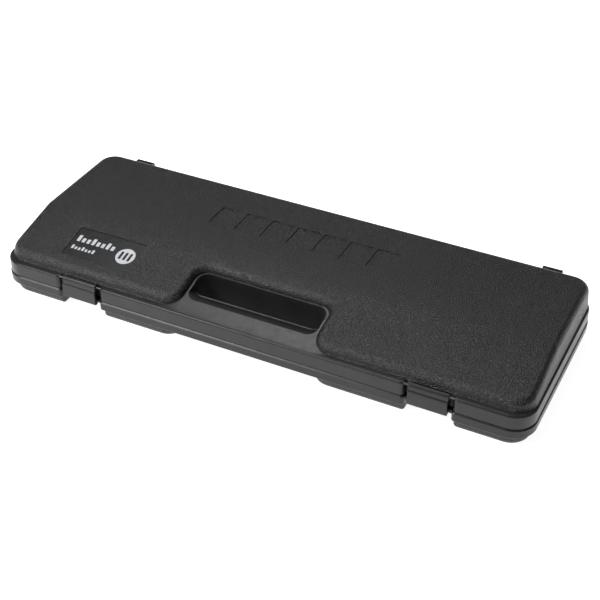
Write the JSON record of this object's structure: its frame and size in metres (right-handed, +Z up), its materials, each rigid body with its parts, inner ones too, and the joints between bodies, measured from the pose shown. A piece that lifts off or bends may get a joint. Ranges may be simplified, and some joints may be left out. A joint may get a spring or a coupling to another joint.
{
  "type": "melodica in its carrying case",
  "caption": "Closed moulded carrying case with handle slot, two latches and rear hinges, holding a piano-keyed melodica with reed plate, wind chest and sprung keys.",
  "frame": {"origin": "under the middle of the closed case, on the surface that it lies on", "axes": "+Z up, +X along the case to its right end seen from the handle, -Y towards the handle side"},
  "size_m": [0.48, 0.181, 0.053],
  "materials": {
    "grained_black_plastic": "fine pebble grain, satin",
    "smooth_black_plastic": "smooth satin",
    "badge_foil": "printed foil, satin",
    "pin_steel": "bright drawn",
    "housing_black": "gloss",
    "chest_grey": "matt moulded",
    "reed_brass": "rolled sheet",
    "stop_felt": "pressed felt",
    "strap_vinyl": "embossed vinyl",
    "mouthpiece_cream": "gloss",
    "key_white": "gloss",
    "key_black": "satin gloss"
  },
  "bodies": {
    "base": {"case_base": "smooth_black_plastic", "hinge_pin_left": "pin_steel", "hinge_pin_right": "pin_steel", "lower_housing": "housing_black", "upper_housing": "housing_black", "wind_chest": "chest_grey", "reed_plate": "reed_brass", "pallet_plate": "chest_grey", "spring_comb": "reed_brass", "key_rod": "pin_steel", "key_stop_felt": "stop_felt", "hand_strap": "strap_vinyl", "mouthpiece_socket": "housing_black", "drain_spring": "pin_steel", "mouthpiece": "mouthpiece_cream", "screw_front_left": "pin_steel", "screw_back_left": "pin_steel", "screw_front_right": "pin_steel", "screw_back_right": "pin_steel"},
    "lid": {"case_lid": "grained_black_plastic", "name_badge": "badge_foil", "latch_pin_left": "pin_steel", "latch_pin_right": "pin_steel"},
    "latch_left": {"latch_left": "smooth_black_plastic"},
    "latch_right": {"latch_right": "smooth_black_plastic"},
    "drain_button": {"drain_button": "housing_black"},
    "key_F3": {"key_F3": "key_white"},
    "key_Fsharp3": {"key_Fsharp3": "key_black"},
    "key_G3": {"key_G3": "key_white"},
    "key_Gsharp3": {"key_Gsharp3": "key_black"},
    "key_A3": {"key_A3": "key_white"},
    "key_Asharp3": {"key_Asharp3": "key_black"},
    "key_B3": {"key_B3": "key_white"},
    "key_C4": {"key_C4": "key_white"},
    "key_Csharp4": {"key_Csharp4": "key_black"},
    "key_D4": {"key_D4": "key_white"},
    "key_Dsharp4": {"key_Dsharp4": "key_black"},
    "key_E4": {"key_E4": "key_white"},
    "key_F4": {"key_F4": "key_white"},
    "key_Fsharp4": {"key_Fsharp4": "key_black"},
    "key_G4": {"key_G4": "key_white"},
    "key_Gsharp4": {"key_Gsharp4": "key_black"},
    "key_A4": {"key_A4": "key_white"},
    "key_Asharp4": {"key_Asharp4": "key_black"},
    "key_B4": {"key_B4": "key_white"},
    "key_C5": {"key_C5": "key_white"},
    "key_Csharp5": {"key_Csharp5": "key_black"},
    "key_D5": {"key_D5": "key_white"},
    "key_Dsharp5": {"key_Dsharp5": "key_black"},
    "key_E5": {"key_E5": "key_white"},
    "key_F5": {"key_F5": "key_white"},
    "key_Fsharp5": {"key_Fsharp5": "key_black"},
    "key_G5": {"key_G5": "key_white"},
    "key_Gsharp5": {"key_Gsharp5": "key_black"},
    "key_A5": {"key_A5": "key_white"},
    "key_Asharp5": {"key_Asharp5": "key_black"},
    "key_B5": {"key_B5": "key_white"},
    "key_C6": {"key_C6": "key_white"}
  },
  "joints": [
    {"name": "lid_hinge", "type": "hinge", "parent": "base", "child": "lid", "pos_m": [0, 0.0873, 0.019], "axis": [-1, 0, 0], "range_deg": [0, 115]},
    {"name": "latch_left_pivot", "type": "hinge", "parent": "lid", "child": "latch_left", "pos_m": [-0.1585, -0.0865, 0.0308], "axis": [-1, 0, 0], "range_deg": [0, 100]},
    {"name": "latch_right_pivot", "type": "hinge", "parent": "lid", "child": "latch_right", "pos_m": [0.1585, -0.0865, 0.0308], "axis": [-1, 0, 0], "range_deg": [0, 100]},
    {"name": "drain_button_press", "type": "slide", "parent": "base", "child": "drain_button", "axis": [-1, 0, 0], "range_m": [0, 0.0015], "stiffness_N_per_m": 200, "springref_m": -0.003},
    {"name": "key_F3_press", "type": "hinge", "parent": "base", "child": "key_F3", "pos_m": [0, 0.056, 0.0298], "axis": [1, 0, 0], "range_deg": [0, 3.8], "stiffness_Nm_per_rad": 0.15, "springref_deg": -11.46},
    {"name": "key_Fsharp3_press", "type": "hinge", "parent": "base", "child": "key_Fsharp3", "pos_m": [0, 0.056, 0.0298], "axis": [1, 0, 0], "range_deg": [0, 3.8], "stiffness_Nm_per_rad": 0.15, "springref_deg": -11.46},
    {"name": "key_G3_press", "type": "hinge", "parent": "base", "child": "key_G3", "pos_m": [0, 0.056, 0.0298], "axis": [1, 0, 0], "range_deg": [0, 3.8], "stiffness_Nm_per_rad": 0.15, "springref_deg": -11.46},
    {"name": "key_Gsharp3_press", "type": "hinge", "parent": "base", "child": "key_Gsharp3", "pos_m": [0, 0.056, 0.0298], "axis": [1, 0, 0], "range_deg": [0, 3.8], "stiffness_Nm_per_rad": 0.15, "springref_deg": -11.46},
    {"name": "key_A3_press", "type": "hinge", "parent": "base", "child": "key_A3", "pos_m": [0, 0.056, 0.0298], "axis": [1, 0, 0], "range_deg": [0, 3.8], "stiffness_Nm_per_rad": 0.15, "springref_deg": -11.46},
    {"name": "key_Asharp3_press", "type": "hinge", "parent": "base", "child": "key_Asharp3", "pos_m": [0, 0.056, 0.0298], "axis": [1, 0, 0], "range_deg": [0, 3.8], "stiffness_Nm_per_rad": 0.15, "springref_deg": -11.46},
    {"name": "key_B3_press", "type": "hinge", "parent": "base", "child": "key_B3", "pos_m": [0, 0.056, 0.0298], "axis": [1, 0, 0], "range_deg": [0, 3.8], "stiffness_Nm_per_rad": 0.15, "springref_deg": -11.46},
    {"name": "key_C4_press", "type": "hinge", "parent": "base", "child": "key_C4", "pos_m": [0, 0.056, 0.0298], "axis": [1, 0, 0], "range_deg": [0, 3.8], "stiffness_Nm_per_rad": 0.15, "springref_deg": -11.46},
    {"name": "key_Csharp4_press", "type": "hinge", "parent": "base", "child": "key_Csharp4", "pos_m": [0, 0.056, 0.0298], "axis": [1, 0, 0], "range_deg": [0, 3.8], "stiffness_Nm_per_rad": 0.15, "springref_deg": -11.46},
    {"name": "key_D4_press", "type": "hinge", "parent": "base", "child": "key_D4", "pos_m": [0, 0.056, 0.0298], "axis": [1, 0, 0], "range_deg": [0, 3.8], "stiffness_Nm_per_rad": 0.15, "springref_deg": -11.46},
    {"name": "key_Dsharp4_press", "type": "hinge", "parent": "base", "child": "key_Dsharp4", "pos_m": [0, 0.056, 0.0298], "axis": [1, 0, 0], "range_deg": [0, 3.8], "stiffness_Nm_per_rad": 0.15, "springref_deg": -11.46},
    {"name": "key_E4_press", "type": "hinge", "parent": "base", "child": "key_E4", "pos_m": [0, 0.056, 0.0298], "axis": [1, 0, 0], "range_deg": [0, 3.8], "stiffness_Nm_per_rad": 0.15, "springref_deg": -11.46},
    {"name": "key_F4_press", "type": "hinge", "parent": "base", "child": "key_F4", "pos_m": [0, 0.056, 0.0298], "axis": [1, 0, 0], "range_deg": [0, 3.8], "stiffness_Nm_per_rad": 0.15, "springref_deg": -11.46},
    {"name": "key_Fsharp4_press", "type": "hinge", "parent": "base", "child": "key_Fsharp4", "pos_m": [0, 0.056, 0.0298], "axis": [1, 0, 0], "range_deg": [0, 3.8], "stiffness_Nm_per_rad": 0.15, "springref_deg": -11.46},
    {"name": "key_G4_press", "type": "hinge", "parent": "base", "child": "key_G4", "pos_m": [0, 0.056, 0.0298], "axis": [1, 0, 0], "range_deg": [0, 3.8], "stiffness_Nm_per_rad": 0.15, "springref_deg": -11.46},
    {"name": "key_Gsharp4_press", "type": "hinge", "parent": "base", "child": "key_Gsharp4", "pos_m": [0, 0.056, 0.0298], "axis": [1, 0, 0], "range_deg": [0, 3.8], "stiffness_Nm_per_rad": 0.15, "springref_deg": -11.46},
    {"name": "key_A4_press", "type": "hinge", "parent": "base", "child": "key_A4", "pos_m": [0, 0.056, 0.0298], "axis": [1, 0, 0], "range_deg": [0, 3.8], "stiffness_Nm_per_rad": 0.15, "springref_deg": -11.46},
    {"name": "key_Asharp4_press", "type": "hinge", "parent": "base", "child": "key_Asharp4", "pos_m": [0, 0.056, 0.0298], "axis": [1, 0, 0], "range_deg": [0, 3.8], "stiffness_Nm_per_rad": 0.15, "springref_deg": -11.46},
    {"name": "key_B4_press", "type": "hinge", "parent": "base", "child": "key_B4", "pos_m": [0, 0.056, 0.0298], "axis": [1, 0, 0], "range_deg": [0, 3.8], "stiffness_Nm_per_rad": 0.15, "springref_deg": -11.46},
    {"name": "key_C5_press", "type": "hinge", "parent": "base", "child": "key_C5", "pos_m": [0, 0.056, 0.0298], "axis": [1, 0, 0], "range_deg": [0, 3.8], "stiffness_Nm_per_rad": 0.15, "springref_deg": -11.46},
    {"name": "key_Csharp5_press", "type": "hinge", "parent": "base", "child": "key_Csharp5", "pos_m": [0, 0.056, 0.0298], "axis": [1, 0, 0], "range_deg": [0, 3.8], "stiffness_Nm_per_rad": 0.15, "springref_deg": -11.46},
    {"name": "key_D5_press", "type": "hinge", "parent": "base", "child": "key_D5", "pos_m": [0, 0.056, 0.0298], "axis": [1, 0, 0], "range_deg": [0, 3.8], "stiffness_Nm_per_rad": 0.15, "springref_deg": -11.46},
    {"name": "key_Dsharp5_press", "type": "hinge", "parent": "base", "child": "key_Dsharp5", "pos_m": [0, 0.056, 0.0298], "axis": [1, 0, 0], "range_deg": [0, 3.8], "stiffness_Nm_per_rad": 0.15, "springref_deg": -11.46},
    {"name": "key_E5_press", "type": "hinge", "parent": "base", "child": "key_E5", "pos_m": [0, 0.056, 0.0298], "axis": [1, 0, 0], "range_deg": [0, 3.8], "stiffness_Nm_per_rad": 0.15, "springref_deg": -11.46},
    {"name": "key_F5_press", "type": "hinge", "parent": "base", "child": "key_F5", "pos_m": [0, 0.056, 0.0298], "axis": [1, 0, 0], "range_deg": [0, 3.8], "stiffness_Nm_per_rad": 0.15, "springref_deg": -11.46},
    {"name": "key_Fsharp5_press", "type": "hinge", "parent": "base", "child": "key_Fsharp5", "pos_m": [0, 0.056, 0.0298], "axis": [1, 0, 0], "range_deg": [0, 3.8], "stiffness_Nm_per_rad": 0.15, "springref_deg": -11.46},
    {"name": "key_G5_press", "type": "hinge", "parent": "base", "child": "key_G5", "pos_m": [0, 0.056, 0.0298], "axis": [1, 0, 0], "range_deg": [0, 3.8], "stiffness_Nm_per_rad": 0.15, "springref_deg": -11.46},
    {"name": "key_Gsharp5_press", "type": "hinge", "parent": "base", "child": "key_Gsharp5", "pos_m": [0, 0.056, 0.0298], "axis": [1, 0, 0], "range_deg": [0, 3.8], "stiffness_Nm_per_rad": 0.15, "springref_deg": -11.46},
    {"name": "key_A5_press", "type": "hinge", "parent": "base", "child": "key_A5", "pos_m": [0, 0.056, 0.0298], "axis": [1, 0, 0], "range_deg": [0, 3.8], "stiffness_Nm_per_rad": 0.15, "springref_deg": -11.46},
    {"name": "key_Asharp5_press", "type": "hinge", "parent": "base", "child": "key_Asharp5", "pos_m": [0, 0.056, 0.0298], "axis": [1, 0, 0], "range_deg": [0, 3.8], "stiffness_Nm_per_rad": 0.15, "springref_deg": -11.46},
    {"name": "key_B5_press", "type": "hinge", "parent": "base", "child": "key_B5", "pos_m": [0, 0.056, 0.0298], "axis": [1, 0, 0], "range_deg": [0, 3.8], "stiffness_Nm_per_rad": 0.15, "springref_deg": -11.46},
    {"name": "key_C6_press", "type": "hinge", "parent": "base", "child": "key_C6", "pos_m": [0, 0.056, 0.0298], "axis": [1, 0, 0], "range_deg": [0, 3.8], "stiffness_Nm_per_rad": 0.15, "springref_deg": -11.46}
  ]
}
